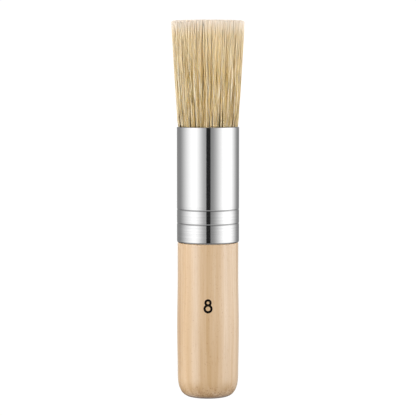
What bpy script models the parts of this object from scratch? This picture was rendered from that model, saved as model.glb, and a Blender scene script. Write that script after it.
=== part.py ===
"""Round stencil brush: a flat-cut bristle head in a drawn ferrule on a short turned handle.

Metres, +Z up. The brush stands on its butt: the origin is the middle of the small flat there,
and the bristles point up. Every turned piece is a profile swept round the Z axis.
"""

import math

import bpy

# Driving dimensions, in metres.
HANDLE_LENGTH = 0.0445          # butt to shoulder, the part of the handle that shows
FERRULE_LENGTH = 0.0331
BRISTLE_LENGTH = 0.0303         # free length above the ferrule's mouth
FERRULE_DIAMETER = 0.0180
FERRULE_WALL = 0.00035
FIT_GAP = 0.0003                # clearance between any two pieces that meet

# Handle.
SHOULDER_STEP = 0.00025         # the shoulder is this much under the ferrule's outside
SHOULDER_ROUND = 0.0003
BELLY_SWELL = 0.00018           # how far the belly stands out past the shoulder
BELLY_HEIGHT = 0.020
BELLY_REACH = 0.016             # the swell dies away this far above and below the belly
BUTT_FLAT_RADIUS = 0.0045
BUTT_ROUND_HEIGHT = 0.0068
BUTT_SQUARENESS = 2.7           # 2 is an elliptical corner, more is squarer
TENON_LENGTH = 0.0156
TENON_CHAMFER = 0.0006
GLUE_STEP_DEPTH = 0.0008        # the tenon's end is turned down this much to hold glue
GLUE_STEP_LENGTH = 0.0030

# Ferrule.
GROOVE_HEIGHTS = (0.00535, 0.00935)     # above the ferrule's lower edge
GROOVE_WIDTH = 0.0007
GROOVE_DEPTH = 0.00013
ROLL_HEIGHT = 0.0006            # the lower edge is rolled in over this height
ROLL_DEPTH = 0.00018

# Bristles and what holds their roots.
BRISTLE_FLARE = 0.00135         # how much wider the tips are than the mouth, each side
MOUTH_SWELL = 0.0007            # the head swells this far past the bore just above the mouth
TIP_ROUND = 0.0004
ROOT_NECK_DEPTH = 0.0017        # the tied roots are drawn in this far
RESIN_FLOOR = 0.0015
RESIN_WALL_HEIGHT = 0.0056
GLUE_THICKNESS = 0.0007
THREAD_DIAMETER = 0.0005
THREAD_TURNS = 3.5

# Facets.
SIDES = 48
THREAD_POINTS_PER_TURN = 20

# What follows from the driving dimensions.
FERRULE_RADIUS = FERRULE_DIAMETER / 2
FERRULE_BOTTOM = HANDLE_LENGTH + FIT_GAP
FERRULE_TOP = FERRULE_BOTTOM + FERRULE_LENGTH
BORE_RADIUS = FERRULE_RADIUS - FERRULE_WALL
FILL_RADIUS = BORE_RADIUS - FIT_GAP     # what stands inside the plain bore
SHOULDER_RADIUS = FERRULE_RADIUS - SHOULDER_STEP
TENON_TOP = HANDLE_LENGTH + TENON_LENGTH
GLUE_TOP = TENON_TOP + FIT_GAP + GLUE_THICKNESS
RESIN_BOTTOM = GLUE_TOP + FIT_GAP
RESIN_FLOOR_TOP = RESIN_BOTTOM + RESIN_FLOOR
RESIN_TOP = RESIN_FLOOR_TOP + RESIN_WALL_HEIGHT
ROOT_RADIUS = FILL_RADIUS - ROOT_NECK_DEPTH
BRISTLE_TOP = FERRULE_TOP + BRISTLE_LENGTH


def clear_scene():
    """Start from an empty scene."""
    for leftover in list(bpy.data.objects):
        bpy.data.objects.remove(leftover, do_unlink=True)


def surface(name, colour, roughness, metallic=0.0):
    """A Principled material of one colour."""
    material = bpy.data.materials.new(name)
    material.use_nodes = True
    shader = material.node_tree.nodes["Principled BSDF"]
    shader.inputs["Base Color"].default_value = (*colour, 1.0)
    shader.inputs["Roughness"].default_value = roughness
    shader.inputs["Metallic"].default_value = metallic
    return material


def add_piece(name, data, material, collection):
    """Put a mesh or curve into the collection as a named piece."""
    data.materials.append(material)
    piece = bpy.data.objects.new(name, data)
    collection.objects.link(piece)
    return piece


def turned(name, profile, material, collection, ring=False):
    """Turn a profile of (radius, height) points, which runs down its outer side, about Z.

    An open profile starts and ends on the axis. A ring's profile closes on itself.
    """
    count = len(profile)
    edges = [(index, index + 1) for index in range(count - 1)]
    if ring:
        edges.append((count - 1, 0))
    mesh = bpy.data.meshes.new(name)
    mesh.from_pydata([(radius, 0.0, height) for radius, height in profile], edges, [])
    piece = add_piece(name, mesh, material, collection)
    screw = piece.modifiers.new("Turn", "SCREW")
    screw.axis = "Z"
    screw.steps = SIDES
    screw.render_steps = SIDES
    screw.use_merge_vertices = True
    screw.merge_threshold = 0.00001
    screw.use_smooth_shade = True
    return piece


def arc(centre_radius, centre_height, size, start_degrees, end_degrees, steps):
    """Points on a round corner. 0 degrees points outwards and 90 degrees points up."""
    points = []
    for index in range(steps + 1):
        angle = math.radians(start_degrees + (end_degrees - start_degrees) * index / steps)
        points.append((centre_radius + size * math.cos(angle), centre_height + size * math.sin(angle)))
    return points


def ferrule_inset(height):
    """How far the ferrule's wall is pressed inwards at a height: its grooves and rolled edge."""
    inset = 0.0
    for groove_height in GROOVE_HEIGHTS:
        across = (height - FERRULE_BOTTOM - groove_height) / (GROOVE_WIDTH / 2)
        if abs(across) < 1:
            inset += GROOVE_DEPTH * (1 + math.cos(math.pi * across)) / 2
    above_edge = height - FERRULE_BOTTOM
    if above_edge < ROLL_HEIGHT:
        below_roll = 1 - max(above_edge, 0.0) / ROLL_HEIGHT
        inset += ROLL_DEPTH * (1 - math.sqrt(1 - below_roll ** 2))
    return inset


def ferrule_levels():
    """Heights, from the top down, where the ferrule's wall bends."""
    groove_steps = 6
    roll_shares = (1.0, 0.55, 0.22, 0.0)
    levels = []
    for groove_height in sorted(GROOVE_HEIGHTS, reverse=True):
        top = FERRULE_BOTTOM + groove_height + GROOVE_WIDTH / 2
        levels += [top - GROOVE_WIDTH * index / groove_steps for index in range(groove_steps + 1)]
    levels += [FERRULE_BOTTOM + ROLL_HEIGHT * share for share in roll_shares]
    return levels


def barrel_radius(height):
    """The handle's radius between its shoulder and the rounding of its butt."""
    along = (height - BELLY_HEIGHT) / BELLY_REACH
    swell = math.cos(along * math.pi / 2) ** 2 if abs(along) < 1 else 0.0
    return SHOULDER_RADIUS + BELLY_SWELL * swell


def make_handle(collection):
    """Turned hardwood: a stepped tenon, a square shoulder, a slight belly and a rounded butt."""
    tip_radius = FILL_RADIUS - GLUE_STEP_DEPTH
    step_height = TENON_TOP - GLUE_STEP_LENGTH
    profile = [
        (0.0, TENON_TOP),
        (tip_radius - TENON_CHAMFER, TENON_TOP),
        (tip_radius, TENON_TOP - TENON_CHAMFER),
        (tip_radius, step_height),
        (FILL_RADIUS, step_height),
    ]
    profile += [(FILL_RADIUS - ferrule_inset(level), level) for level in ferrule_levels()]
    profile.append((FILL_RADIUS - ROLL_DEPTH, HANDLE_LENGTH))

    corner_radius = SHOULDER_RADIUS - SHOULDER_ROUND
    profile += arc(corner_radius, HANDLE_LENGTH - SHOULDER_ROUND, SHOULDER_ROUND, 90, 0, 3)

    barrel_steps = 12
    barrel_top = HANDLE_LENGTH - 4 * SHOULDER_ROUND
    for index in range(barrel_steps + 1):
        height = barrel_top + (BUTT_ROUND_HEIGHT - barrel_top) * index / barrel_steps
        profile.append((barrel_radius(height), height))

    butt_steps = 9
    round_width = barrel_radius(BUTT_ROUND_HEIGHT) - BUTT_FLAT_RADIUS
    power = 2 / BUTT_SQUARENESS
    for index in range(1, butt_steps + 1):
        angle = math.pi / 2 * index / butt_steps
        radius = BUTT_FLAT_RADIUS + round_width * max(math.cos(angle), 0.0) ** power
        height = BUTT_ROUND_HEIGHT * (1 - math.sin(angle) ** power)
        profile.append((radius, height))
    profile.append((0.0, 0.0))

    wood = surface("lacquered_wood", (0.72, 0.52, 0.32), 0.45)
    turned("handle", profile, wood, collection)


def make_ferrule(collection):
    """A drawn metal tube with a rounded mouth, two rolled grooves and a rolled-in lower edge."""
    lip = FERRULE_WALL / 2
    profile = arc(FERRULE_RADIUS - lip, FERRULE_TOP - lip, lip, 180, 0, 6)
    levels = ferrule_levels()
    profile += [(FERRULE_RADIUS - ferrule_inset(level), level) for level in levels]
    profile += [(BORE_RADIUS - ferrule_inset(level), level) for level in reversed(levels)]

    metal = surface("bright_nickel", (0.80, 0.80, 0.80), 0.12, metallic=1.0)
    turned("ferrule", profile, metal, collection, ring=True)


def make_bristle_bundle(collection):
    """The envelope of the bristles: tied roots, a plain stretch in the bore, and a flared head."""
    tip_radius = FILL_RADIUS + MOUTH_SWELL + BRISTLE_FLARE
    head_bottom = FERRULE_TOP + MOUTH_SWELL
    head_top = BRISTLE_TOP - TIP_ROUND
    profile = [(0.0, BRISTLE_TOP)]
    profile += arc(tip_radius - TIP_ROUND, head_top, TIP_ROUND, 90, 0, 4)

    head_steps = 10
    for index in range(1, head_steps + 1):
        share = 1 - index / head_steps
        flare = BRISTLE_FLARE * share ** 2 * (3 - 2 * share)
        height = head_bottom + (head_top - head_bottom) * share
        profile.append((FILL_RADIUS + MOUTH_SWELL + flare, height))

    profile.append((FILL_RADIUS, FERRULE_TOP))
    profile.append((FILL_RADIUS, RESIN_TOP + ROOT_NECK_DEPTH))
    profile.append((ROOT_RADIUS, RESIN_TOP))
    profile.append((ROOT_RADIUS, RESIN_FLOOR_TOP + FIT_GAP))
    profile.append((0.0, RESIN_FLOOR_TOP + FIT_GAP))

    bristle = surface("hog_bristle", (0.60, 0.46, 0.27), 0.70)
    turned("bristle_bundle", profile, bristle, collection)


def make_root_resin(collection):
    """The setting compound: a cup that fills the bore round and below the tied roots."""
    inside_radius = ROOT_RADIUS + THREAD_DIAMETER + 2 * FIT_GAP
    profile = [
        (0.0, RESIN_FLOOR_TOP),
        (inside_radius, RESIN_FLOOR_TOP),
        (inside_radius, RESIN_TOP),
        (FILL_RADIUS, RESIN_TOP),
        (FILL_RADIUS, RESIN_BOTTOM),
        (0.0, RESIN_BOTTOM),
    ]
    resin = surface("setting_resin", (0.50, 0.33, 0.12), 0.30)
    turned("root_resin", profile, resin, collection)


def make_handle_glue(collection):
    """The glue over the tenon's turned-down end: a cap with a skirt in the step."""
    inside_radius = FILL_RADIUS - GLUE_STEP_DEPTH + FIT_GAP
    skirt_bottom = TENON_TOP - GLUE_STEP_LENGTH + FIT_GAP
    profile = [
        (0.0, GLUE_TOP),
        (FILL_RADIUS, GLUE_TOP),
        (FILL_RADIUS, skirt_bottom),
        (inside_radius, skirt_bottom),
        (inside_radius, TENON_TOP + FIT_GAP),
        (0.0, TENON_TOP + FIT_GAP),
    ]
    glue = surface("dried_glue", (0.75, 0.66, 0.45), 0.40)
    turned("handle_glue", profile, glue, collection)


def make_binding_thread(collection):
    """Thread tied round the roots: a short helix half way up the resin's wall."""
    centre_radius = ROOT_RADIUS + FIT_GAP + THREAD_DIAMETER / 2
    pitch = THREAD_DIAMETER + FIT_GAP
    middle = (RESIN_FLOOR_TOP + RESIN_TOP) / 2
    bottom = middle - pitch * THREAD_TURNS / 2
    count = int(THREAD_TURNS * THREAD_POINTS_PER_TURN) + 1

    curve = bpy.data.curves.new("binding_thread", "CURVE")
    curve.dimensions = "3D"
    curve.bevel_depth = THREAD_DIAMETER / 2
    curve.bevel_resolution = 2
    curve.use_fill_caps = True
    spline = curve.splines.new("POLY")
    spline.points.add(count - 1)
    for index, point in enumerate(spline.points):
        turns = index / THREAD_POINTS_PER_TURN
        angle = 2 * math.pi * turns
        x = centre_radius * math.cos(angle)
        y = centre_radius * math.sin(angle)
        point.co = (x, y, bottom + pitch * turns, 1.0)

    cotton = surface("waxed_thread", (0.78, 0.74, 0.64), 0.80)
    add_piece("binding_thread", curve, cotton, collection)


clear_scene()
brush = bpy.data.collections.new("round_stencil_brush")
bpy.context.scene.collection.children.link(brush)
make_handle(brush)
make_handle_glue(brush)
make_ferrule(brush)
make_root_resin(brush)
make_binding_thread(brush)
make_bristle_bundle(brush)
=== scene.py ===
"""Looks of a round stencil brush: lacquered beech handle, bright nickel ferrule, hog bristle head."""

import math

import bmesh
import bpy
import numpy as np
from mathutils import Matrix, Vector


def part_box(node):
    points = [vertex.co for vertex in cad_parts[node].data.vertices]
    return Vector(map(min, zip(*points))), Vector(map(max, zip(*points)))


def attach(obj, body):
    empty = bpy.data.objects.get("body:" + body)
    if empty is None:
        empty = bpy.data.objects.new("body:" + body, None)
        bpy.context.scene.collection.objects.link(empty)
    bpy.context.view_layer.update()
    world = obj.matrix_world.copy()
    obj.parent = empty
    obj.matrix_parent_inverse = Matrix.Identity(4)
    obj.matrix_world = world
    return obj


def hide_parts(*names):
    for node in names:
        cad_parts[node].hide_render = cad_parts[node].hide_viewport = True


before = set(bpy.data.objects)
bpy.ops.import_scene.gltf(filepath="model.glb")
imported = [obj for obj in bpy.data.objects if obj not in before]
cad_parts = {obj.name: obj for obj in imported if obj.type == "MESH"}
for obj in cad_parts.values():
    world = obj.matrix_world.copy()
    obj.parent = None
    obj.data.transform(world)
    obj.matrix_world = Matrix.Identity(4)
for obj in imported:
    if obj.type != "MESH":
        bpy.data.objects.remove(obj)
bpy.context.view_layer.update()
MM = 0.001


# ---------------------------------------------------------------------------------------------
# Handle. Close-grained beech, turned on a lathe between centres, sanded and dipped in a clear
# satin lacquer. Its stepped tenon is pushed into the ferrule, and the ferrule's two rolled
# grooves grip it. The butt is rounded by hand against the abrasive, which burns its edge a little.
# The dark rim at the very bottom of the butt is painted shade.

FERRULE_LOW, FERRULE_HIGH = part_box("ferrule")
HANDLE_LOW, HANDLE_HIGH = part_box("handle")
FERRULE_RADIUS = FERRULE_HIGH.x
FERRULE_WALL = 0.35 * MM
SEAM = 0.10 * MM                    # what is left open between the shoulder and the ferrule
SHOULDER_HEIGHT = FERRULE_LOW.z - SEAM
SHOULDER_RADIUS = FERRULE_RADIUS - 0.25 * MM
SHOULDER_ROUND = 0.3 * MM
UNDERCUT_DEPTH = 0.2 * MM           # of the groove that clears the tool where tenon meets shoulder
UNDERCUT_WIDTH = 0.8 * MM
BELLY_SWELL = HANDLE_HIGH.x - SHOULDER_RADIUS
BELLY_HEIGHT = 20 * MM
BELLY_REACH = 16 * MM
BUTT_FLAT_RADIUS = 4.5 * MM
BUTT_ROUND_HEIGHT = 6.8 * MM
BUTT_SQUARENESS = 2.6
TENON_RADIUS = FERRULE_RADIUS - FERRULE_WALL - 0.30 * MM
TENON_TIP_RADIUS = TENON_RADIUS - 0.8 * MM
TENON_STEP_HEIGHT = HANDLE_HIGH.z - 3.0 * MM
TENON_CHAMFER = 0.6 * MM
TURNED_SIDES = 128


def linear(hex_colour):
    """An sRGB hex colour as linear red, green, blue and alpha."""
    channels = [int(hex_colour[at:at + 2], 16) / 255 for at in (0, 2, 4)]
    return (*[c / 12.92 if c <= 0.04045 else ((c + 0.055) / 1.055) ** 2.4 for c in channels], 1.0)


def add_node(tree, kind, sockets=None, stops=(), **settings):
    """Add a shader node. A socket given another node's output is linked, and a value is set."""
    node = tree.nodes.new("ShaderNode" + kind)
    for name, value in settings.items():
        setattr(node, name, value)
    for name, value in (sockets or {}).items():
        if isinstance(value, bpy.types.NodeSocket):
            tree.links.new(value, node.inputs[name])
        else:
            node.inputs[name].default_value = value
    for index, (position, colour) in enumerate(stops):
        elements = node.color_ramp.elements
        element = elements[index] if index < 2 else elements.new(position)
        element.position = position
        element.color = colour
    return node


def new_material(name, **values):
    """A material, its node tree and its Principled shader with these socket values."""
    material = bpy.data.materials.new(name)
    material.use_nodes = True
    tree = material.node_tree
    shader = tree.nodes["Principled BSDF"]
    for socket, value in values.items():
        shader.inputs[socket.replace("_", " ")].default_value = value
    return material, tree, shader


def turn(profile, ring=False):
    """Turn a profile of (radius, height) points about Z into one closed shape."""
    shape = bmesh.new()
    points = [shape.verts.new((radius, 0, height)) for radius, height in profile]
    pairs = list(zip(points, points[1:]))
    if ring:
        pairs.append((points[-1], points[0]))
    edges = [shape.edges.new(pair) for pair in pairs]
    bmesh.ops.spin(shape, geom=points + edges, cent=(0, 0, 0), axis=(0, 0, 1),
                   angle=2 * math.pi, steps=TURNED_SIDES, use_merge=True)
    bmesh.ops.remove_doubles(shape, verts=shape.verts, dist=0.0005 * MM)
    bmesh.ops.recalc_face_normals(shape, faces=shape.faces)
    return shape


def finish_piece(name, mesh, material, node=None):
    """Make the mesh a piece of the brush that stands for a CAD node."""
    mesh.materials.clear()
    mesh.materials.append(material)
    piece = bpy.data.objects.new(name, mesh)
    bpy.context.scene.collection.objects.link(piece)
    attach(piece, "root")
    if node:
        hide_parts(node)
    return piece


def smooth_mesh(name, shape, sharp_degrees=35):
    """Write a bmesh to a smooth mesh whose edges stay sharp past this angle, and free it."""
    mesh = bpy.data.meshes.new(name)
    shape.to_mesh(mesh)
    shape.free()
    mesh.shade_smooth()
    mesh.set_sharp_from_angle(angle=math.radians(sharp_degrees))
    return mesh


def arc(centre_radius, centre_height, size, start, end, steps):
    """Points on a round corner, from one angle in degrees to another; 0 points outwards."""
    angles = [math.radians(start + (end - start) * step / steps) for step in range(steps + 1)]
    return [(centre_radius + size * math.cos(a), centre_height + size * math.sin(a)) for a in angles]


def barrel_radius(height):
    """The handle's radius between its shoulder and the rounding of its butt."""
    along = (height - BELLY_HEIGHT) / BELLY_REACH
    return SHOULDER_RADIUS + BELLY_SWELL * (math.cos(along * math.pi / 2) ** 2 if abs(along) < 1 else 0)


def handle_profile():
    """The handle's outline from the middle of the tenon's end down to the middle of the butt."""
    profile = [
        (0, HANDLE_HIGH.z),
        (TENON_TIP_RADIUS - TENON_CHAMFER, HANDLE_HIGH.z),
        (TENON_TIP_RADIUS, HANDLE_HIGH.z - TENON_CHAMFER),
        (TENON_TIP_RADIUS, TENON_STEP_HEIGHT),
        (TENON_RADIUS, TENON_STEP_HEIGHT),
        (TENON_RADIUS, SHOULDER_HEIGHT + 1.5 * MM),
        (TENON_RADIUS - UNDERCUT_DEPTH, SHOULDER_HEIGHT + UNDERCUT_WIDTH),
        (TENON_RADIUS - UNDERCUT_DEPTH, SHOULDER_HEIGHT),
    ]
    profile += arc(SHOULDER_RADIUS - SHOULDER_ROUND, SHOULDER_HEIGHT - SHOULDER_ROUND,
                   SHOULDER_ROUND, 90, 0, 5)
    barrel_steps = 28
    barrel_top = SHOULDER_HEIGHT - 2 * SHOULDER_ROUND
    for step in range(barrel_steps + 1):
        height = barrel_top + (BUTT_ROUND_HEIGHT - barrel_top) * step / barrel_steps
        profile.append((barrel_radius(height), height))
    butt_steps = 24
    round_width = barrel_radius(BUTT_ROUND_HEIGHT) - BUTT_FLAT_RADIUS
    power = 2 / BUTT_SQUARENESS
    for step in range(1, butt_steps + 1):
        angle = math.pi / 2 * step / butt_steps
        profile.append((BUTT_FLAT_RADIUS + round_width * max(math.cos(angle), 0) ** power,
                        BUTT_ROUND_HEIGHT * (1 - math.sin(angle) ** power)))
    profile.append((0, 0))
    return profile


def beech():
    """Lacquered beech: pale pinkish tan, straight fine grain along the handle, short brown
    flecks, faint growth rings, end grain on the butt, and a clear satin coat."""
    material, tree, shader = new_material(
        "lacquered_beech", Roughness=0.42, IOR=1.5, Coat_Weight=1.0, Coat_Roughness=0.30, Coat_IOR=1.5)
    place = add_node(tree, "TexCoord").outputs["Object"]

    # Growth rings 1.6 mm apart, about a pith that lies behind the handle. A wave texture of scale
    # 1 repeats 3.18 times in each unit of length.
    ring_spacing = 1.6 * MM
    from_pith = (7 * MM, -16 * MM, 0.0)
    rings_at = add_node(tree, "Mapping", {"Vector": place, "Location": from_pith,
                                          "Scale": (1.0, 1.0, 0.03)})
    rings = add_node(tree, "TexWave", {"Vector": rings_at.outputs[0], "Scale": 1 / (3.18 * ring_spacing),
                                       "Distortion": 3.0, "Detail": 3.0, "Detail Scale": 0.6},
                     wave_type="RINGS", rings_direction="Z", wave_profile="SAW")
    # Fibre bundles about 0.45 mm across and 40 times as long. Real fibres are finer than the
    # eye can part at this distance, so these are drawn coarser.
    fibre_width = 0.45 * MM
    fibres_at = add_node(tree, "Mapping", {"Vector": place, "Scale": (1.0, 1.0, 0.025)})
    fibres = add_node(tree, "TexNoise", {"Vector": fibres_at.outputs[0], "Scale": 0.5 / fibre_width,
                                         "Detail": 3.0, "Roughness": 0.6, "Distortion": 0.2})
    # Broad bands of paler and darker wood, some 5 mm wide.
    bands_at = add_node(tree, "Mapping", {"Vector": place, "Scale": (1.0, 1.0, 0.06)})
    bands = add_node(tree, "TexNoise", {"Vector": bands_at.outputs[0], "Scale": 0.17 / MM, "Detail": 2.0})
    # Ray flecks: short brown dashes 0.15 mm wide and 1 to 2 mm long, 2.3 cells to a millimetre.
    flecks_at = add_node(tree, "Mapping", {"Vector": place, "Scale": (1.0, 1.0, 0.13)})
    flecks = add_node(tree, "TexVoronoi", {"Vector": flecks_at.outputs[0], "Scale": 2.3 / MM})

    tone = add_node(tree, "Math", {0: fibres.outputs["Fac"], 1: 0.40, 2: 0.10}, operation="MULTIPLY_ADD")
    tone = add_node(tree, "Math", {0: bands.outputs["Fac"], 1: 0.50, 2: tone.outputs[0]},
                    operation="MULTIPLY_ADD")
    tone = add_node(tree, "Math", {0: rings.outputs["Fac"], 1: 0.08, 2: tone.outputs[0]},
                    operation="MULTIPLY_ADD")
    wood = add_node(tree, "ValToRGB", {"Fac": tone.outputs[0]},
                    stops=[(0.36, linear("a5815a")), (0.80, linear("d2bca0")),
                           (0.50, linear("b7966c")), (0.64, linear("c2a480"))])
    fleck_size = add_node(tree, "MapRange", {"Value": flecks.outputs["Distance"], "From Min": 0.10,
                                             "From Max": 0.22, "To Min": 0.45, "To Max": 0.0})
    flecked = add_node(tree, "Mix", {"Factor": fleck_size.outputs[0], 6: wood.outputs["Color"],
                                     7: linear("a97c4e")}, data_type="RGBA")

    # The rounded edge of the butt is scorched with brown specks 0.3 mm across within 5 mm of the
    # bottom. A dark brown rim over the lowest millimetre is painted shade, where the butt turns
    # under away from the lamps.
    height = add_node(tree, "SeparateXYZ", {"Vector": place}).outputs["Z"]
    specks = add_node(tree, "TexNoise", {"Vector": place, "Scale": 2.2 / MM, "Detail": 2.0})
    near = add_node(tree, "MapRange", {"Value": height, "From Min": 0.5 * MM, "From Max": 5.0 * MM,
                                       "To Min": 0.12, "To Max": -0.10})
    burnt = add_node(tree, "Math", {0: specks.outputs["Fac"], 1: near.outputs[0]}, operation="ADD")
    burnt = add_node(tree, "MapRange", {"Value": burnt.outputs[0], "From Min": 0.55, "From Max": 0.72,
                                        "To Min": 0.0, "To Max": 0.75})
    speckled = add_node(tree, "Mix", {"Factor": burnt.outputs[0], 6: flecked.outputs[2],
                                      7: linear("8a5a30")}, data_type="RGBA")
    # Painted shade: the lowest millimetre of the butt is darkened to dark brown.
    painted_rim_shade = add_node(tree, "MapRange", {"Value": height, "From Min": 0.1 * MM, "From Max": 1.2 * MM,
                                      "To Min": 0.95, "To Max": 0.0}, interpolation_type="SMOOTHSTEP")
    rim_shaded = add_node(tree, "Mix", {"Factor": painted_rim_shade.outputs[0], 6: speckled.outputs[2],
                                      7: linear("5f2f0c")}, data_type="RGBA")
    tree.links.new(rim_shaded.outputs[2], shader.inputs["Base Color"])

    relief = add_node(tree, "Bump", {"Height": fibres.outputs["Fac"], "Strength": 0.12,
                                     "Distance": 0.02 * MM})
    tree.links.new(relief.outputs[0], shader.inputs["Normal"])
    return material


handle_mesh = smooth_mesh("turned_handle", turn(handle_profile()))
handle = finish_piece("turned_handle", handle_mesh, beech(), "handle")


# ---------------------------------------------------------------------------------------------
# Size number. A generic plain figure 8, pad-printed in black ink on the front of the handle
# after lacquering: a film a few hundredths of a millimetre thick that follows the barrel.

UPPER_RING = 1.05 * MM              # outer radius of the figure's upper loop
LOWER_RING = 1.30 * MM
LOWER_RING_HEIGHT = 26.45 * MM
STROKE = 0.66 * MM
INK_THICKNESS = 0.02 * MM
INK_LIFT = 0.008 * MM


def printed_eight():
    """The figure as two rings of ink that share a stroke, bent round the front of the barrel."""
    film = bmesh.new()
    upper_ring_height = LOWER_RING_HEIGHT + LOWER_RING + UPPER_RING - STROKE
    for ring, middle in ((LOWER_RING, LOWER_RING_HEIGHT), (UPPER_RING, upper_ring_height)):
        stroke = bmesh.ops.create_circle(film, segments=12, radius=STROKE / 2)["verts"]
        bmesh.ops.translate(film, verts=stroke, vec=(ring - STROKE / 2, 0, middle))
        edges = [edge for edge in film.edges if all(vertex in stroke for vertex in edge.verts)]
        bmesh.ops.spin(film, geom=stroke + edges, cent=(0, 0, middle), axis=(0, 1, 0),
                       angle=2 * math.pi, steps=48, use_merge=True)
    for vertex in film.verts:
        lift = INK_LIFT - vertex.co.y * INK_THICKNESS / (STROKE / 2)
        radius = barrel_radius(vertex.co.z) + lift
        angle = vertex.co.x / radius
        vertex.co = (radius * math.sin(angle), -radius * math.cos(angle), vertex.co.z)
    bmesh.ops.recalc_face_normals(film, faces=film.faces)
    return smooth_mesh("printed_number", film)


def ink():
    """Black pad-printing ink: matt, a touch brown where it lies thin on the lacquer."""
    material, tree, shader = new_material("black_ink", Roughness=0.6, Specular_IOR_Level=0.05)
    place = add_node(tree, "TexCoord").outputs["Object"]
    speckle = add_node(tree, "TexNoise", {"Vector": place, "Scale": 5 / MM, "Detail": 2.0})
    colour = add_node(tree, "ValToRGB", {"Fac": speckle.outputs["Fac"]},
                      stops=[(0.35, linear("060403")), (0.75, linear("120e0b"))])
    tree.links.new(colour.outputs["Color"], shader.inputs["Base Color"])
    return material


number = finish_piece("printed_number", printed_eight(), ink())


# ---------------------------------------------------------------------------------------------
# Handle glue. Wood glue run into the step at the tenon's end and squeezed over its end face as
# the ferrule is pushed on. It dries dull yellow with small bubbles. It is hidden in the ferrule.


def dried_glue():
    """Dried wood glue: cloudy yellow, half matt, with pinholes 0.7 mm apart from bubbles."""
    material, tree, shader = new_material("dried_wood_glue", Roughness=0.38, IOR=1.48)
    place = add_node(tree, "TexCoord").outputs["Object"]
    cloud = add_node(tree, "TexNoise", {"Vector": place, "Scale": 0.6 / MM, "Detail": 3.0})
    colour = add_node(tree, "ValToRGB", {"Fac": cloud.outputs["Fac"]},
                      stops=[(0.3, linear("c2a468")), (0.7, linear("e2cd96"))])
    bubbles = add_node(tree, "TexVoronoi", {"Vector": place, "Scale": 1.5 / MM})
    relief = add_node(tree, "Bump", {"Height": bubbles.outputs["Distance"], "Strength": 0.3,
                                     "Distance": 0.05 * MM})
    tree.links.new(colour.outputs["Color"], shader.inputs["Base Color"])
    tree.links.new(relief.outputs[0], shader.inputs["Normal"])
    return material


def dress_node(node, material):
    """Keep a CAD node's shape and give it a finished material."""
    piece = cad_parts[node]
    piece.data.materials.clear()
    piece.data.materials.append(material)


dress_node("handle_glue", dried_glue())


# ---------------------------------------------------------------------------------------------
# Ferrule. A seamless cup drawn from thin sheet, cut to a tube, nickel plated and polished. Two
# grooves are rolled into it to grip the tenon, and its lower edge is rolled in over the shoulder.

LIP = FERRULE_WALL / 2
GROOVE_HEIGHTS = (9.43 * MM, 5.42 * MM)
GROOVE_WIDTH = 0.50 * MM
GROOVE_DEPTH = 0.075 * MM
ROLL_HEIGHT = 0.5 * MM
ROLL_DEPTH = 0.19 * MM


def wall_inset(above_edge):
    """How far the tube's wall is pressed in, this far above the ferrule's lower edge."""
    inset = 0
    for groove in GROOVE_HEIGHTS:
        across = (above_edge - groove) / (GROOVE_WIDTH / 2)
        if abs(across) < 1:
            inset += GROOVE_DEPTH * (1 + math.cos(math.pi * across)) / 2
    if above_edge < ROLL_HEIGHT:
        inset += ROLL_DEPTH * (1 - math.sqrt(1 - (1 - above_edge / ROLL_HEIGHT) ** 2))
    return inset


def ferrule_profile():
    """The tube's outline: over the lip, down the outside, and back up the inside."""
    groove_steps = 20
    roll_steps = 10
    levels = []
    for groove in GROOVE_HEIGHTS:
        levels += [groove + GROOVE_WIDTH * (0.5 - step / groove_steps) for step in range(groove_steps + 1)]
    levels += [ROLL_HEIGHT * (1 - math.sin(math.pi / 2 * step / roll_steps))
               for step in range(roll_steps + 1)]
    outside = [(FERRULE_RADIUS - wall_inset(level), FERRULE_LOW.z + level) for level in levels]
    inside = [(radius - FERRULE_WALL, height) for radius, height in reversed(outside)]
    return arc(FERRULE_RADIUS - LIP, FERRULE_HIGH.z - LIP, LIP, 180, 0, 12) + outside + inside


def nickel():
    """Polished nickel plate: mirror bright and neutral, with hair-fine polishing lines round
    the tube that only just break up what it reflects, and duller ones where it was rolled."""
    material, tree, shader = new_material("polished_nickel", Metallic=1.0)
    place = add_node(tree, "TexCoord").outputs["Object"]
    # Lines 0.12 mm apart up the tube and some 20 mm long round it.
    line_spacing = 0.12 * MM
    lines_at = add_node(tree, "Mapping", {"Vector": place, "Scale": (0.01, 0.01, 1.0)})
    lines = add_node(tree, "TexNoise", {"Vector": lines_at.outputs[0], "Scale": 0.5 / line_spacing,
                                        "Detail": 3.0, "Roughness": 0.7})
    relief = add_node(tree, "Bump", {"Height": lines.outputs["Fac"], "Strength": 0.05,
                                     "Distance": 0.004 * MM})
    gloss = add_node(tree, "MapRange", {"Value": lines.outputs["Fac"], "From Min": 0.3, "From Max": 0.7,
                                        "To Min": 0.05, "To Max": 0.10})
    height = add_node(tree, "SeparateXYZ", {"Vector": place}).outputs["Z"]
    # The dulling fades out over 1.5 mm above the upper groove.
    rolled_top = FERRULE_LOW.z + GROOVE_HEIGHTS[0]
    rolled = add_node(tree, "MapRange", {"Value": height, "From Min": rolled_top,
                                         "From Max": rolled_top + 1.5 * MM, "To Min": 1.0, "To Max": 0.1})
    dull = add_node(tree, "MapRange", {"Value": lines.outputs["Fac"], "From Min": 0.35, "From Max": 0.60,
                                       "To Min": 0.9, "To Max": 0.0})
    dull = add_node(tree, "Math", {0: dull.outputs[0], 1: rolled.outputs[0]}, operation="MULTIPLY")
    colour = add_node(tree, "Mix", {"Factor": dull.outputs[0], 6: linear("f0f0f0"),
                                    7: linear("e4e4e4")}, data_type="RGBA")
    tree.links.new(colour.outputs[2], shader.inputs["Base Color"])
    tree.links.new(gloss.outputs[0], shader.inputs["Roughness"])
    tree.links.new(relief.outputs[0], shader.inputs["Normal"])
    return material


ferrule_mesh = smooth_mesh("drawn_ferrule", turn(ferrule_profile(), ring=True))
finish_piece("drawn_ferrule", ferrule_mesh, nickel(), "ferrule")


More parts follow.
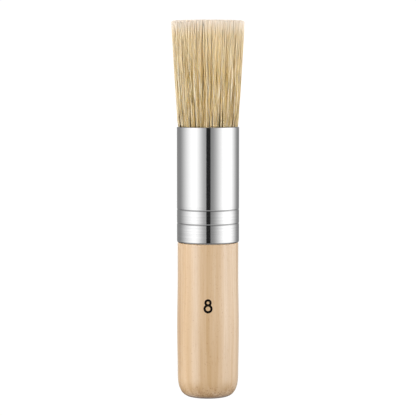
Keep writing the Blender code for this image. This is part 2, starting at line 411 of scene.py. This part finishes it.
# ---------------------------------------------------------------------------------------------
# Root resin and binding thread. The bristle roots are tied with a few turns of waxed thread and
# set in amber resin poured into the ferrule. Both are hidden once the brush is made up.


def setting_resin():
    """Cured amber resin: clear brown, glossy, with a faint cloud 3 mm across."""
    material, tree, shader = new_material("amber_setting_resin", Roughness=0.18, IOR=1.55)
    place = add_node(tree, "TexCoord").outputs["Object"]
    cloud = add_node(tree, "TexNoise", {"Vector": place, "Scale": 0.35 / MM, "Detail": 4.0})
    colour = add_node(tree, "ValToRGB", {"Fac": cloud.outputs["Fac"]},
                      stops=[(0.3, linear("7a4d18")), (0.7, linear("b8853c"))])
    tree.links.new(colour.outputs["Color"], shader.inputs["Base Color"])
    return material


def waxed_thread():
    """Waxed cotton thread: off-white plies 0.35 mm apart, twisted at a slant, with a dull wax shine."""
    material, tree, shader = new_material("waxed_cotton_thread", Roughness=0.6)
    place = add_node(tree, "TexCoord").outputs["Object"]
    slant = add_node(tree, "Mapping", {"Vector": place, "Rotation": (0.6, 0.6, 0.0)})
    plies = add_node(tree, "TexWave", {"Vector": slant.outputs[0], "Scale": 0.9 / MM, "Distortion": 1.0})
    colour = add_node(tree, "ValToRGB", {"Fac": plies.outputs["Fac"]},
                      stops=[(0.2, linear("b8ac90")), (0.8, linear("e6dfca"))])
    relief = add_node(tree, "Bump", {"Height": plies.outputs["Fac"], "Strength": 0.5,
                                     "Distance": 0.05 * MM})
    tree.links.new(colour.outputs["Color"], shader.inputs["Base Color"])
    tree.links.new(relief.outputs[0], shader.inputs["Normal"])
    return material


dress_node("root_resin", setting_resin())
dress_node("binding_thread", waxed_thread())


# ---------------------------------------------------------------------------------------------
# Bristles. Natural white hog bristle, each hair thick at its root and thinner at its tip, set in
# tufts that crowd together at the ferrule's mouth, spread out above it and are cut off flat.

BUNDLE_LOW, BUNDLE_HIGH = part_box("bristle_bundle")
BORE_RADIUS = FERRULE_RADIUS - FERRULE_WALL
MOUTH_HEIGHT = FERRULE_HIGH.z
FREE_LENGTH = BUNDLE_HIGH.z - MOUTH_HEIGHT
NECK_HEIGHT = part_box("root_resin")[1].z
NECK_LENGTH = 1.7 * MM
NECK_RADIUS = BORE_RADIUS - 2.0 * MM        # of the roots, where the thread ties them
TIP_RADIUS = BUNDLE_HIGH.x
HELD_RADIUS = BORE_RADIUS - 0.05 * MM
SWELL_RADIUS = 8.94 * MM            # of the head just above the lip, over which it bulges
SWELL_LENGTH = 1.0 * MM
FLARE_START = 4.5 * MM              # above the lip
FLARE_END = 1.3 * MM                # below the trimmed end
TIP_ROUND = 0.5 * MM
TIP_UNEVENNESS = 0.14 * MM          # how far below the cut a hair's tip usually ends
BRISTLE_COUNT = 8000
BRISTLE_RADIUS = 0.086 * MM
TIP_SHARE = 1.65                    # a hair's width at its split tip, as a share of that at its root
TUFT_COUNT = 220
WISPS_PER_TUFT = 4
HAIR_BOW = 0.022                    # bows and waves are shares of the head's radius
WISP_BOW = 0.014
HAIR_WAVE = 0.016
HIDDEN_POINTS = 3
FREE_POINTS = 11
PATH_POINTS = HIDDEN_POINTS + FREE_POINTS
SIDES_PER_HAIR = 4
GOLDEN_ANGLE = math.pi * (3 - math.sqrt(5))
LAYER_COUNT = 5


def head_radius(height):
    """Radius of the bundle: a tied neck in the resin, then the bore, then a bulge over the lip
    and an even flare up to the trimmed end."""
    return np.interp(height, [NECK_HEIGHT, NECK_HEIGHT + NECK_LENGTH, MOUTH_HEIGHT,
                              MOUTH_HEIGHT + SWELL_LENGTH, MOUTH_HEIGHT + FLARE_START,
                              BUNDLE_HIGH.z - FLARE_END],
                     [NECK_RADIUS, HELD_RADIUS, HELD_RADIUS, SWELL_RADIUS, SWELL_RADIUS, TIP_RADIUS])


def sunflower(count, jitter, dice):
    """Places spread evenly over a disc of radius 1, from the middle outwards, each a bit astray."""
    index = np.arange(count) + 0.5
    radius = np.sqrt(index / count)
    angle = index * GOLDEN_ANGLE
    places = np.stack([radius * np.cos(angle), radius * np.sin(angle)], axis=1)
    return places + dice.normal(0, jitter / math.sqrt(count), places.shape)


def nearest(places, centres):
    """For each place, the number of the centre nearest to it."""
    return np.argmin(np.linalg.norm(places[:, None] - centres[None], axis=2), axis=1)


def hair_heights(own, dice):
    """Heights of each hair's points: a few down in the ferrule, then evenly up to its cut tip."""
    cut = BUNDLE_HIGH.z - 0.05 * MM - np.abs(dice.normal(0, TIP_UNEVENNESS, BRISTLE_COUNT))
    edge = np.clip((np.linalg.norm(own, axis=1) - 0.96) / 0.04, 0, 1)
    cut -= TIP_ROUND * (1 - np.sqrt(1 - 0.999 * edge ** 2))
    hidden = np.array([BUNDLE_LOW.z, NECK_HEIGHT, NECK_HEIGHT + NECK_LENGTH])
    start = MOUTH_HEIGHT - 0.6 * MM
    free = start + (cut[:, None] - start) * np.linspace(0, 1, FREE_POINTS)[None]
    return np.concatenate([np.tile(hidden, (BRISTLE_COUNT, 1)), free], axis=1)


def hair_paths(dice):
    """Each hair's points from root to tip, as (hair, point, xyz), with its thickness and tone."""
    own = sunflower(BRISTLE_COUNT, 0.3, dice)
    own /= np.maximum(np.linalg.norm(own, axis=1), 1)[:, None]
    tufts = sunflower(TUFT_COUNT, 0.3, dice)
    wisps = sunflower(TUFT_COUNT * WISPS_PER_TUFT, 0.3, dice)
    tuft = nearest(own, tufts)
    wisp = nearest(own, wisps)
    height = hair_heights(own, dice)
    free = np.clip((height - MOUTH_HEIGHT) / FREE_LENGTH, 0, 1)

    # Near the mouth hairs crowd towards the middle of their tuft, some tufts more than others.
    # This dies out by half-way up, and there the smaller wisps hold together a little.
    crowding = dice.uniform(0.10, 0.65, TUFT_COUNT)[tuft][:, None] * np.exp(-(free / 0.34) ** 2)
    holding = 0.22 * np.exp(-((free - 0.45) / 0.28) ** 2)
    place = own[:, None] + (tufts[tuft] - own)[:, None] * crowding[..., None]
    place = place + (wisps[wisp] - own)[:, None] * holding[..., None]

    # Each hair bows and waves its own way, and its wisp bows too. The tips stand evenly.
    hair_bow = dice.normal(0, HAIR_BOW, (BRISTLE_COUNT, 2))
    bow = hair_bow + dice.normal(0, WISP_BOW, (len(wisps), 2))[wisp]
    wave = dice.normal(0, HAIR_WAVE, (BRISTLE_COUNT, 2))
    turns = dice.uniform(1.0, 2.8, (BRISTLE_COUNT, 1))
    phase = dice.uniform(0, 2 * np.pi, (BRISTLE_COUNT, 1))
    waving = np.sin(2 * np.pi * turns * free + phase) * np.minimum(free / 0.2, 1) * (1 - free ** 3)
    place = place + bow[:, None] * np.sin(np.pi * free)[..., None]
    place = place + wave[:, None] * waving[..., None]

    # No hair leaves the head's outline by more than about half its width.
    reach = np.linalg.norm(place, axis=2)
    limit = 1.0 + 0.010 * dice.random(BRISTLE_COUNT)[:, None] * np.sin(np.pi * free)
    place = place * (np.minimum(reach, limit) / np.maximum(reach, 1e-9))[..., None]
    size = head_radius(height) - BRISTLE_RADIUS
    points = np.concatenate([place * size[..., None], height[..., None]], axis=2)

    thickness = BRISTLE_RADIUS * np.clip(dice.normal(1, 0.15, BRISTLE_COUNT), 0.6, 1.5)
    tone = (0.55 + dice.normal(0, 0.015, TUFT_COUNT)[tuft] + dice.normal(0, 0.06, len(wisps))[wisp]
            + dice.normal(0, 0.16, BRISTLE_COUNT))
    tone[dice.random(BRISTLE_COUNT) < 0.03] -= 0.3
    return points, thickness, np.clip(tone, 0, 1)


def hair_mesh(name, points, thickness, tone):
    """A layer of hairs as thin closed tubes, with each hair's tone as an attribute and a map on
    which every hair has a strip of its own."""
    curve = bpy.data.curves.new(name, "CURVE")
    curve.dimensions = "3D"
    curve.bevel_depth = 1.0
    curve.bevel_resolution = 0
    share = np.linspace(0, 1, PATH_POINTS)
    taper = 1 - 0.08 * np.sin(np.pi * share) + (TIP_SHARE - 1) * share ** 4
    for path, size in zip(points, thickness):
        spline = curve.splines.new("POLY")
        spline.points.add(PATH_POINTS - 1)
        spline.points.foreach_set("co", np.column_stack([path, np.ones(PATH_POINTS)]).ravel())
        spline.points.foreach_set("radius", size * taper)
    holder = bpy.data.objects.new(name, curve)
    bpy.context.scene.collection.objects.link(holder)
    bpy.context.view_layer.update()
    tubes = bpy.data.meshes.new_from_object(holder)
    bpy.data.objects.remove(holder)

    shape = bmesh.new()
    shape.from_mesh(tubes)
    open_edges = [edge for edge in shape.edges if edge.is_boundary]
    bmesh.ops.holes_fill(shape, edges=open_edges, sides=SIDES_PER_HAIR)
    bmesh.ops.recalc_face_normals(shape, faces=shape.faces)
    mesh = smooth_mesh(name, shape, sharp_degrees=70)

    per_hair = PATH_POINTS * SIDES_PER_HAIR
    colour = mesh.attributes.new("tone", "FLOAT", "POINT")
    colour.data.foreach_set("value", np.repeat(tone, per_hair).astype(np.float32))

    corner = np.empty(len(mesh.loops), np.int32)
    mesh.loops.foreach_get("vertex_index", corner)
    corner = corner.reshape(-1, SIDES_PER_HAIR)
    hair, within = np.divmod(corner, per_hair)
    point, side = np.divmod(within, SIDES_PER_HAIR)
    side = side + SIDES_PER_HAIR * ((side == 0) & (side.max(axis=1, keepdims=True) == SIDES_PER_HAIR - 1))
    cap = (point.min(axis=1) == point.max(axis=1))[:, None]
    across = np.where(cap, 0.02 * (side % 2), side / SIDES_PER_HAIR)
    along = np.where(cap, point / PATH_POINTS * 1.1 + 0.002 * (side // 2), point / PATH_POINTS)
    columns = int(math.sqrt(len(points) * 12))
    rows = math.ceil(len(points) / columns)
    u = (hair % columns + 0.1 + 0.8 * across) / columns
    v = (hair // columns + 0.02 + 0.94 * along) / rows
    mesh.uv_layers[0].name = "OFBake"
    mesh.uv_layers[0].data.foreach_set("uv", np.stack([u, v], axis=-1).ravel().astype(np.float32))
    return mesh


def hog_bristle():
    """Bleached hog bristle: straw coloured and a little glossy, greyer and browner down by the
    ferrule, with a painted shadow where the hairs leave it, nearly white at the split tips,
    and no two hairs quite alike."""
    material, tree, shader = new_material("natural_hog_bristle", Roughness=0.5, IOR=1.5,
                                          Specular_IOR_Level=0.25,
                                          Subsurface_Weight=1.0, Subsurface_Scale=0.10 * MM,
                                          Subsurface_Radius=(1.0, 1.0, 1.0))
    tone = add_node(tree, "Attribute", attribute_name="tone").outputs["Fac"]
    place = add_node(tree, "TexCoord").outputs["Object"]
    height = add_node(tree, "SeparateXYZ", {"Vector": place}).outputs["Z"]
    along = add_node(tree, "MapRange", {"Value": height, "From Min": MOUTH_HEIGHT,
                                        "From Max": BUNDLE_HIGH.z}).outputs[0]
    # Darker and paler patches along each hair, 0.7 mm wide and some 5 mm long.
    patches_at = add_node(tree, "Mapping", {"Vector": place, "Scale": (1.0, 1.0, 0.12)})
    patches = add_node(tree, "TexNoise", {"Vector": patches_at.outputs[0], "Scale": 1.5 / MM,
                                          "Detail": 2.0})
    shade = add_node(tree, "Math", {0: patches.outputs["Fac"], 1: 0.5, 2: tone}, operation="MULTIPLY_ADD")
    # The mean of patches and tone is 0.80. Hairs differ from it most near their roots and hardly
    # at their tips.
    shade = add_node(tree, "Math", {0: shade.outputs[0], 1: 0.80}, operation="SUBTRACT")
    spread = add_node(tree, "MapRange", {"Value": along, "From Min": 0.40, "From Max": 0.88,
                                         "To Min": 1.15, "To Max": 0.1})
    shade = add_node(tree, "Math", {0: shade.outputs[0], 1: spread.outputs[0], 2: 0.55},
                     operation="MULTIPLY_ADD")
    hair = add_node(tree, "ValToRGB", {"Fac": shade.outputs[0]},
                    stops=[(0.05, linear("735718")), (0.95, linear("f3e6ce")),
                           (0.30, linear("b79757")), (0.55, linear("d8c08d"))])
    pale = add_node(tree, "ValToRGB", {"Fac": along},
                    stops=[(0.45, linear("000000")), (1.0, linear("ffffff")), (0.85, linear("8a8a8a"))])
    tipped = add_node(tree, "Mix", {"Factor": pale.outputs["Color"], 6: hair.outputs["Color"],
                                    7: linear("ddd1c4")}, data_type="RGBA")
    # Darker, greyer brown up to a third of the way. The darkest band, where the hairs come out of the
    # ferrule, is painted shadow.
    root_darkening_and_shadow = add_node(tree, "ValToRGB", {"Fac": along},
                    stops=[(0.0, linear("c8c8c8")), (0.35, linear("000000")), (0.02, linear("808080")),
                           (0.15, linear("484848"))])
    roots_darkened = add_node(tree, "Mix", {"Factor": root_darkening_and_shadow.outputs["Color"], 6: tipped.outputs[2],
                                    7: linear("6b5832")}, data_type="RGBA")
    tree.links.new(roots_darkened.outputs[2], shader.inputs["Base Color"])
    return material


dice = np.random.default_rng(5)
hair_points, hair_thickness, hair_tone = hair_paths(dice)
bristle = hog_bristle()
hair_layers = []
per_layer = BRISTLE_COUNT // LAYER_COUNT
for layer in range(LAYER_COUNT):
    layer_name = f"bristle_layer_{layer + 1}"
    chosen = slice(layer * per_layer, (layer + 1) * per_layer)
    layer_mesh = hair_mesh(layer_name, hair_points[chosen], hair_thickness[chosen], hair_tone[chosen])
    hair_layers.append(finish_piece(layer_name, layer_mesh, bristle, "bristle_bundle"))


# ---------------------------------------------------------------------------------------------
# Studio. White floor and background, a light tent whose walls show in the nickel as two bright
# panels with a dark slot for the lens between them, and tall lamps round the sides.

TENT_RADIUS = 0.45
TENT_HEIGHT = 2.4
TENT_MIDDLE = 60 * MM               # height on the tent's wall that its angles are measured from
TENT_PEAK = 1.5
LENS_AIM = 54.5 * MM                # height on the brush that the camera looks at
LENS_DISTANCE = 0.517
LENS_PITCH = math.radians(4.2)


def stage_piece(name, shape, material, **seen_by):
    """A stage piece that only these kinds of ray can see."""
    mesh = bpy.data.meshes.new(name)
    shape.to_mesh(mesh)
    shape.free()
    mesh.materials.append(material)
    piece = bpy.data.objects.new(name, mesh)
    bpy.context.scene.collection.objects.link(piece)
    for ray in ("camera", "diffuse", "glossy", "transmission", "volume_scatter", "shadow"):
        setattr(piece, "visible_" + ray, seen_by.get(ray, False))
    return piece


def glow(name):
    """A material that only glows, with its emission shader."""
    material = bpy.data.materials.new(name)
    material.use_nodes = True
    tree = material.node_tree
    tree.nodes.clear()
    emission = add_node(tree, "Emission")
    add_node(tree, "OutputMaterial", {"Surface": emission.outputs[0]})
    return material, tree, emission


def white_paper():
    """Evenly lit white paper, burnt out to pure white."""
    material, tree, emission = glow("white_paper")
    emission.inputs["Strength"].default_value = 1.05
    return material


def tent_light():
    """Light from the tent's wall: (degrees round from the lens, brightness), then
    (degrees up from level, share of it)."""
    material, tree, emission = glow("tent_light")
    round_wall = [(-180, 1.30), (-150, 0.26), (-128, 0.26), (-50, 1.24), (-7.0, 0.40), (-6.0, 0.018),
                  (8.8, 0.018), (9.8, 0.26), (70, 1.32), (82, 1.30), (138, 0.25), (152, 0.26), (180, 1.30)]
    up_wall = [(-40, 0.0), (-30, 0.10), (-14, 1.0), (14, 1.0), (26, 0.32), (34, 0.14), (60, 0.06)]
    place = add_node(tree, "TexCoord").outputs["Object"]
    axes = add_node(tree, "SeparateXYZ", {"Vector": place})
    towards_lens = add_node(tree, "Math", {0: axes.outputs["Y"], 1: -1.0}, operation="MULTIPLY")
    turn_angle = add_node(tree, "Math", {0: axes.outputs["X"], 1: towards_lens.outputs[0]},
                          operation="ARCTAN2")
    turn_share = add_node(tree, "MapRange", {"Value": turn_angle.outputs[0], "From Min": -math.pi,
                                             "From Max": math.pi})
    rise = add_node(tree, "Math", {0: axes.outputs["Z"], 1: TENT_MIDDLE}, operation="SUBTRACT")
    rise_angle = add_node(tree, "Math", {0: rise.outputs[0], 1: TENT_RADIUS}, operation="ARCTAN2")
    rise_share = add_node(tree, "MapRange", {"Value": rise_angle.outputs[0], "From Min": -math.pi / 2,
                                             "From Max": math.pi / 2})
    round_ramp = add_node(tree, "ValToRGB", {"Fac": turn_share.outputs[0]},
                          stops=[((angle + 180) / 360, (level / TENT_PEAK,) * 3 + (1,))
                                 for angle, level in [round_wall[0], round_wall[-1]] + round_wall[1:-1]])
    up_ramp = add_node(tree, "ValToRGB", {"Fac": rise_share.outputs[0]},
                       stops=[((angle + 90) / 180, (level / 2,) * 3 + (1,))
                              for angle, level in [up_wall[0], up_wall[-1]] + up_wall[1:-1]])
    round_ramp.color_ramp.interpolation = "EASE"
    both = add_node(tree, "Math", {0: round_ramp.outputs["Color"], 1: up_ramp.outputs["Color"]},
                    operation="MULTIPLY")
    # Far down, the pale table shows in the ferrule's rolled edge.
    table = add_node(tree, "MapRange", {"Value": rise_angle.outputs[0], "From Min": math.radians(-34),
                                        "From Max": math.radians(-48), "To Min": 0.0, "To Max": 0.60})
    level = add_node(tree, "Math", {0: both.outputs[0], 1: 2 * TENT_PEAK, 2: table.outputs[0]},
                     operation="MULTIPLY_ADD")
    tree.links.new(level.outputs[0], emission.inputs["Strength"])
    return material


paper = white_paper()
floor = bmesh.new()
bmesh.ops.create_grid(floor, x_segments=1, y_segments=1, size=2.0,
                      matrix=Matrix.Translation((0, 0, -0.5 * MM)))
stage_piece("floor", floor, paper, camera=True)

backdrop = bmesh.new()
bmesh.ops.create_uvsphere(backdrop, u_segments=32, v_segments=16, radius=3.0)
stage_piece("backdrop", backdrop, paper, camera=True)

tent = bmesh.new()
bmesh.ops.create_cone(tent, cap_ends=False, segments=96, radius1=TENT_RADIUS, radius2=TENT_RADIUS,
                      depth=TENT_HEIGHT)
stage_piece("light_tent", tent, tent_light(), glossy=True)

# Soft light from all round, weaker from below.
world = bpy.data.worlds.new("studio")
bpy.context.scene.world = world
world.use_nodes = True
sky = world.node_tree
towards = add_node(sky, "SeparateXYZ", {"Vector": add_node(sky, "TexCoord").outputs["Generated"]})
sky_light = add_node(sky, "MapRange", {"Value": towards.outputs["Z"], "From Min": -0.6, "From Max": 0.0,
                                       "To Min": 0.15, "To Max": 0.80})
sky.nodes["Background"].inputs["Color"].default_value = linear("ffffff")
sky.links.new(sky_light.outputs[0], sky.nodes["Background"].inputs["Strength"])


# The nickel is lit by the tent's wall alone. The wood has four lamps, well out to the sides, and
# the hair has two nearer the lens and two weak ones behind.
wood_pieces = bpy.data.collections.new("wood_pieces")
for piece in (handle, number):
    wood_pieces.objects.link(piece)
hair_pieces = bpy.data.collections.new("hair_pieces")
for piece in hair_layers:
    hair_pieces.objects.link(piece)


def side_lamp(name, pieces, place, power):
    """A tall soft lamp that lights only these pieces, turned to the middle of the brush."""
    lamp = bpy.data.lights.new(name, "AREA")
    lamp.shape = "RECTANGLE"
    lamp.size = 0.2
    lamp.size_y = 0.6
    lamp.energy = power
    holder = bpy.data.objects.new(name, lamp)
    bpy.context.scene.collection.objects.link(holder)
    away = Vector(place) - Vector((0, 0, LENS_AIM))
    holder.matrix_world = Matrix.Translation(place) @ away.to_track_quat("Z", "Y").to_matrix().to_4x4()
    holder.light_linking.receiver_collection = pieces


side_lamp("left_lamp", wood_pieces, (-0.446, -0.401, 0.12), 3.3)
side_lamp("right_lamp", wood_pieces, (0.571, -0.185, 0.12), 2.5)
side_lamp("left_rear_lamp", wood_pieces, (-0.53, 0.29, 0.12), 2.9)
side_lamp("right_rear_lamp", wood_pieces, (0.56, 0.22, 0.12), 1.2)
side_lamp("left_hair_lamp", hair_pieces, (-0.40, -0.45, 0.12), 2.55)
side_lamp("right_hair_lamp", hair_pieces, (0.43, -0.42, 0.12), 2.55)
side_lamp("left_rear_hair_lamp", hair_pieces, (-0.52, 0.30, 0.12), 1.2)
side_lamp("right_rear_hair_lamp", hair_pieces, (0.52, 0.30, 0.12), 1.2)

# The lens stands in front and looks a few degrees down at the middle of the brush.
lens = bpy.data.cameras.new("lens")
lens.sensor_width = 36
lens.lens = 155.6
camera = bpy.data.objects.new("camera", lens)
bpy.context.scene.collection.objects.link(camera)
camera.matrix_world = (Matrix.Translation((0, 0, LENS_AIM)) @ Matrix.Rotation(-LENS_PITCH, 4, "X")
                       @ Matrix.Translation((0, -LENS_DISTANCE, 0)) @ Matrix.Rotation(math.pi / 2, 4, "X"))
bpy.context.scene.camera = camera
bpy.context.scene.view_settings.view_transform = "Standard"
